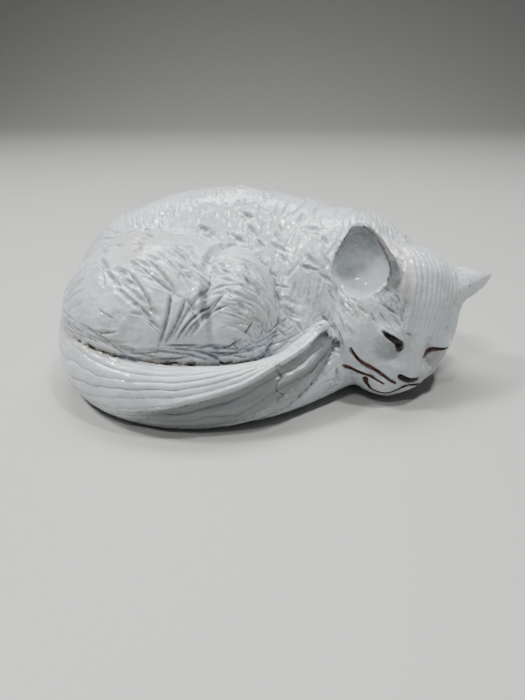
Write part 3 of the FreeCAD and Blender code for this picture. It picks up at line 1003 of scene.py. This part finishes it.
class Nodes:
    """A short way to write a material's nodes."""

    def __init__(self, name):
        self.material = bpy.data.materials.new(name)
        self.material.use_nodes = True
        self.tree = self.material.node_tree
        self.shader = self.tree.nodes["Principled BSDF"]

    def join(self, source, target):
        self.tree.links.new(source, target)

    def feed(self, value, target):
        """Links a value that comes from a node, or sets a plain one."""
        if isinstance(value, bpy.types.NodeSocket):
            self.join(value, target)
        else:
            target.default_value = (*value, 1.0) if isinstance(value, tuple) else value

    def noise(self, scale, detail=3.0, roughness=0.5):
        place = self.tree.nodes.new("ShaderNodeTexCoord")
        node = self.tree.nodes.new("ShaderNodeTexNoise")
        node.inputs["Scale"].default_value = scale
        node.inputs["Detail"].default_value = detail
        node.inputs["Roughness"].default_value = roughness
        self.join(place.outputs["Object"], node.inputs["Vector"])
        return node.outputs["Fac"]

    def range(self, source, low, high, to_low=0.0, to_high=1.0):
        node = self.tree.nodes.new("ShaderNodeMapRange")
        for key, value in (("From Min", low), ("From Max", high), ("To Min", to_low), ("To Max", to_high)):
            node.inputs[key].default_value = value
        self.join(source, node.inputs["Value"])
        return node.outputs["Result"]

    def math(self, operation, a, b):
        node = self.tree.nodes.new("ShaderNodeMath")
        node.operation = operation
        self.feed(a, node.inputs[0])
        self.feed(b, node.inputs[1])
        return node.outputs[0]

    def mix(self, share, a, b):
        node = self.tree.nodes.new("ShaderNodeMix")
        node.data_type = "RGBA"
        self.feed(share, node.inputs[0])
        self.feed(a, node.inputs[6])
        self.feed(b, node.inputs[7])
        return node.outputs[2]

    def layer(self, tone, amount, low, high, strength, colour):
        """Lays a colour over the tone, as far as the amount has gone from low to high."""
        return self.mix(self.math("MULTIPLY", self.range(amount, low, high), strength), tone, colour)

    def attribute(self, name):
        node = self.tree.nodes.new("ShaderNodeAttribute")
        node.attribute_name = name
        return node.outputs["Fac"]

    def bump(self, height, distance, strength=1.0, before=None):
        node = self.tree.nodes.new("ShaderNodeBump")
        node.inputs["Strength"].default_value = strength
        node.inputs["Distance"].default_value = distance
        self.join(height, node.inputs["Height"])
        if before is not None:
            self.join(before, node.inputs["Normal"])
        return node.outputs["Normal"]


def white_glaze():
    """Tin glaze: white where it is thick, grey-brown where it runs thin over edges, brown where iron comes
    through, and grey painted shade in hollows, grooves, ear, face and under the tail.
    """
    m = Nodes("white_glaze")
    cloud = m.noise(60, 4, 0.55)
    fleck = m.noise(450, 3, 0.6)
    speck = m.noise(950, 2, 0.5)
    flecked = m.range(fleck, 0.3, 0.7, -0.3, 0.3)

    def uneven(name, share=1.0):
        return m.math("ADD", m.attribute(name), m.math("MULTIPLY", flecked, share))

    tone = m.mix(m.range(cloud, 0.35, 0.68), (0.46, 0.50, 0.53), (0.58, 0.615, 0.64))
    tone = m.layer(tone, m.noise(34, 2, 0.5), 0.57, 0.72, 0.35, (0.46, 0.42, 0.34))
    # painted shade, grey, in the broad hollows
    hollow_shade = m.math("ADD", m.attribute("hollow"), m.range(cloud, 0.3, 0.7, -0.15, 0.15))
    tone = m.layer(tone, hollow_shade, 0.05, 0.8, 0.7, (0.18, 0.195, 0.21))
    # painted shade, grey: ear flange, tail underside, top of the ear's hollow, face
    tone = m.layer(tone, uneven("painted_shade", 0.5), 0.1, 0.95, 0.82, (0.125, 0.13, 0.13))
    tone = m.mix(m.math("MULTIPLY", m.attribute("warm"), 0.5), tone, (0.42, 0.36, 0.26))
    # painted shade, grey, in the small creases and the stroke grooves
    tone = m.layer(tone, uneven("groove"), 0.2, 1.0, 0.72, (0.12, 0.125, 0.135))
    # thin glaze over sharp edges, and painted shade on the ear's flange
    tone = m.layer(tone, uneven("edge"), 0.6, 1.1, 0.5, (0.21, 0.195, 0.175))
    tone = m.layer(tone, uneven("line", 0.8), 0.34, 0.85, 0.85, (0.075, 0.06, 0.052))
    tone = m.layer(tone, uneven("iron"), 0.45, 0.85, 0.9, (0.05, 0.033, 0.024))
    tone = m.layer(tone, uneven("bleed"), 0.35, 1.1, 0.75, (0.16, 0.085, 0.055))
    pin = m.math("MULTIPLY", m.range(speck, 0.69, 0.75), m.range(cloud, 0.45, 0.7))
    tone = m.mix(m.math("MULTIPLY", pin, 0.6), tone, (0.14, 0.12, 0.10))
    m.join(tone, m.shader.inputs["Base Color"])
    m.join(m.range(m.noise(140, 3, 0.5), 0.3, 0.75, 0.035, 0.12), m.shader.inputs["Roughness"])
    m.shader.inputs["IOR"].default_value = 1.55
    waves = m.bump(m.noise(210, 3, 0.5), 0.9 * MM, 0.6)
    grain = m.bump(fleck, 0.20 * MM, 0.5, waves)
    pits = m.bump(m.range(speck, 0.66, 0.74, 1.0, 0.0), 0.12 * MM, 0.5, grain)
    m.join(pits, m.shader.inputs["Normal"])
    return m.material


def oxide_slip(name, brown):
    """Iron oxide in the glaze: black where it is thick, and brown where it runs thin."""
    m = Nodes(name)
    cloud = m.noise(420, 3, 0.6)
    tone = m.layer((0.004, 0.003, 0.003), cloud, 0.35, 0.7, brown, (0.15, 0.062, 0.038))
    m.join(tone, m.shader.inputs["Base Color"])
    m.join(m.range(cloud, 0.3, 0.7, 0.03, 0.12), m.shader.inputs["Roughness"])
    m.shader.inputs["Specular IOR Level"].default_value = 0.2
    m.join(m.bump(m.noise(600, 2, 0.5), 0.5 * MM, 0.7), m.shader.inputs["Normal"])
    return m.material


def bare_clay():
    m = Nodes("bare_clay")
    grog = m.noise(900, 4, 0.65)
    cloud = m.noise(45, 3, 0.5)
    tone = m.mix(m.range(cloud, 0.3, 0.7), (0.46, 0.36, 0.27), (0.58, 0.48, 0.37))
    tone = m.layer(tone, grog, 0.60, 0.72, 0.6, (0.20, 0.14, 0.10))
    m.join(tone, m.shader.inputs["Base Color"])
    m.join(m.range(grog, 0.3, 0.7, 0.75, 0.95), m.shader.inputs["Roughness"])
    m.join(m.bump(grog, 0.3 * MM, 0.6), m.shader.inputs["Normal"])
    return m.material


# ---------------------------------------------------------------- studio


def lamp(name, place, size, power):
    """A soft lamp aimed at the cat."""
    data = bpy.data.lights.new(name, "AREA")
    data.shape = "RECTANGLE"
    data.size, data.size_y = size
    data.energy = power
    light = bpy.data.objects.new(name, data)
    light.location = place
    light.rotation_euler = (Vector((0, 0, 0.04)) - Vector(place)).to_track_quat("-Z", "Y").to_euler()
    bpy.context.scene.collection.objects.link(light)


def studio():
    camera = bpy.data.cameras.new("camera")
    camera.lens = 27.0
    camera.sensor_width = 36.0
    camera.clip_start = 0.01
    eye = bpy.data.objects.new("camera", camera)
    eye.location = (7.5 * MM, -275 * MM, 153 * MM)
    eye.rotation_euler = (math.radians(90 - 28.7), 0, 0)
    bpy.context.scene.collection.objects.link(eye)
    bpy.context.scene.camera = eye

    bends = [(1.2 + 0.8 * math.sin(a), 0.8 - 0.8 * math.cos(a)) for a in np.linspace(0, math.pi / 2, 16)]
    profile = [(-3.0, 0.0), *bends, (2.0, 3.0)]
    count = len(profile)
    points = [(x, y, z) for x in (-4.0, 4.0) for y, z in profile]
    faces = [(i, i + count, i + count + 1, i + 1) for i in range(count - 1)]
    floor_mesh = bpy.data.meshes.new("floor")
    floor_mesh.from_pydata(points, [], faces)
    floor_mesh.polygons.foreach_set("use_smooth", [True] * len(faces))
    floor = bpy.data.objects.new("floor", floor_mesh)
    bpy.context.scene.collection.objects.link(floor)
    paper = Nodes("studio_paper")
    paper.shader.inputs["Base Color"].default_value = (0.42, 0.415, 0.40, 1)
    paper.shader.inputs["Roughness"].default_value = 0.55
    floor_mesh.materials.append(paper.material)

    lamp("key", (-0.56, 0.0, 0.84), (0.15, 0.15), 8.8)
    lamp("ceiling", (0.0, 0.45, 1.10), (0.9, 0.4), 17.0)
    lamp("spark_right", (0.25, -0.12, 0.95), (0.08, 0.08), 5.0)
    lamp("spark_left", (-0.22, -0.42, 0.80), (0.06, 0.06), 2.2)
    lamp("fill", (0.9, -0.8, 0.6), (0.8, 0.8), 0.3)
    world = bpy.data.worlds.new("studio")
    world.use_nodes = True
    world.node_tree.nodes["Background"].inputs["Color"].default_value = (0.80, 0.83, 0.87, 1)
    world.node_tree.nodes["Background"].inputs["Strength"].default_value = 0.13
    bpy.context.scene.world = world


# ---------------------------------------------------------------- build

studio()
distances = {name: distance_to(name) for name in LUMPS}
cells = grid_points()
clay = joined_clay(distances)
clay = model_face(clay, cells)
clay = model_ear(clay, cells)
clay = fold_tail_end(clay, cells)
clay = cut_vent(clay, cells)
skin = Skin(*skin_of(clay))
near = {name: sample(distances[name], skin.points) for name in LUMPS}
owner = np.argmin(np.stack([near[name] for name in LUMPS]), axis=0)
laid = project_lines(skin)
attributes = texture_skin(skin, near, owner, laid)
skin.inward = unit(skin.smoothed(skin.normals, 6))
part_number = part_of_faces(skin, owner)

glaze, bisque = white_glaze(), bare_clay()
thick_slip, thin_slip = oxide_slip("oxide_slip_thick", 0.03), oxide_slip("oxide_slip_thin", 0.75)
for number, name in enumerate(LUMPS):
    mesh = shell_piece(name, skin, skin.quads[part_number == number], attributes)
    bare = name == "bottom_slab"
    add_piece("cat_" + name, mesh, "bare_clay" if bare else "white_glaze", bisque if bare else glaze, name)
for name, rows in laid.items():
    normals = np.array([skin.inward[skin.tree.find(spot)[1]] for spot in rows[:, :3]])
    slip = thick_slip if name in ("right_eye_line", "nose") else thin_slip
    add_piece("cat_" + name, ribbon(name, rows, normals), "oxide_slip", slip, name)
